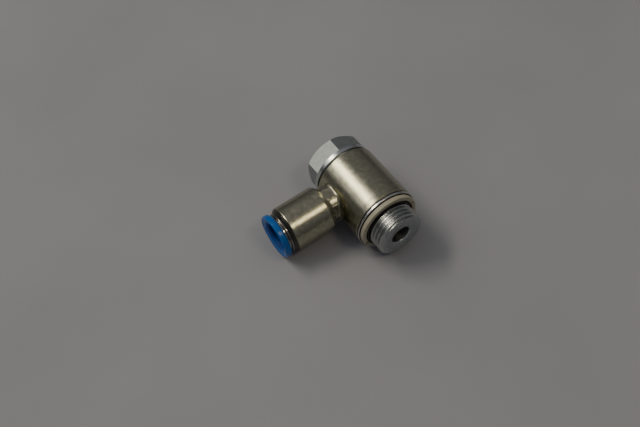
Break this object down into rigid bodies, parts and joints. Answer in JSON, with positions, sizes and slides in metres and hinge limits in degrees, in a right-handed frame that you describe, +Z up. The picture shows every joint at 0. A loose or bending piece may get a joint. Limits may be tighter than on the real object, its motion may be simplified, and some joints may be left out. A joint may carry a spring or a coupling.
{
  "type": "flow control valve",
  "caption": "Small one-way flow control valve: hexagon hollow bolt with pipe thread, swivelling banjo body and a push-in tube connector with a blue release ring.",
  "frame": {"origin": "centre of the valve's bounding box in plan, on the surface it lies on", "axes": "+X along the hollow bolt toward its thread, -Y toward the tube mouth, +Z up; the valve lies on its body and release ring"},
  "size_m": [0.05, 0.0565, 0.028],
  "materials": {
    "aluminium": "satin turned",
    "plated_body": "satin nickel plating with a warm tint",
    "chrome": "bright",
    "brass": "turned",
    "spring_steel": "rolled",
    "rubber_black": "matt",
    "natural_plastic": "matt, natural beige",
    "black_plastic": "matt",
    "white_plastic": "matt",
    "blue_plastic": "moulded, slightly glossy"
  },
  "bodies": {
    "bolt": {"hollow_bolt": "aluminium", "screw_retainer": "spring_steel", "thrust_ring": "black_plastic", "upper_swivel_seal": "rubber_black", "lower_swivel_seal": "rubber_black", "check_lip_seal": "rubber_black", "retaining_washer": "chrome", "sealing_ring": "natural_plastic", "sealing_ring_core": "rubber_black"},
    "swivel_body": {"banjo_body": "plated_body", "connector_body": "plated_body", "connector_seal": "rubber_black", "connector_sleeve": "plated_body", "tube_seal": "rubber_black", "support_ring": "white_plastic", "clamp_ring": "brass", "grip_claw": "spring_steel", "mouth_collar": "chrome"},
    "release": {"release_ring": "blue_plastic"},
    "screw_seal": {"regulating_screw_seal": "rubber_black"},
    "screw": {"regulating_screw": "brass"}
  },
  "joints": [
    {"name": "body_swivel", "type": "hinge", "parent": "bolt", "child": "swivel_body", "pos_m": [-0.0054, 0.01428, 0.014], "axis": [1, 0, 0], "continuous": true},
    {"name": "release_slide", "type": "slide", "parent": "swivel_body", "child": "release", "axis": [0, -0.9945, -0.1045], "range_m": [0, 0.0013]},
    {"name": "screw_travel", "type": "slide", "parent": "bolt", "child": "screw_seal", "axis": [-1, 0, 0], "range_m": [0, 0.004]},
    {"name": "screw_turn", "type": "hinge", "parent": "screw_seal", "child": "screw", "pos_m": [-0.014, 0.01428, 0.014], "axis": [-1, 0, 0], "range_deg": [0, 1440]}
  ],
  "couplings": [
    {"joint": "screw_turn", "follows": "screw_travel", "rad_per_m": 6283.2}
  ]
}
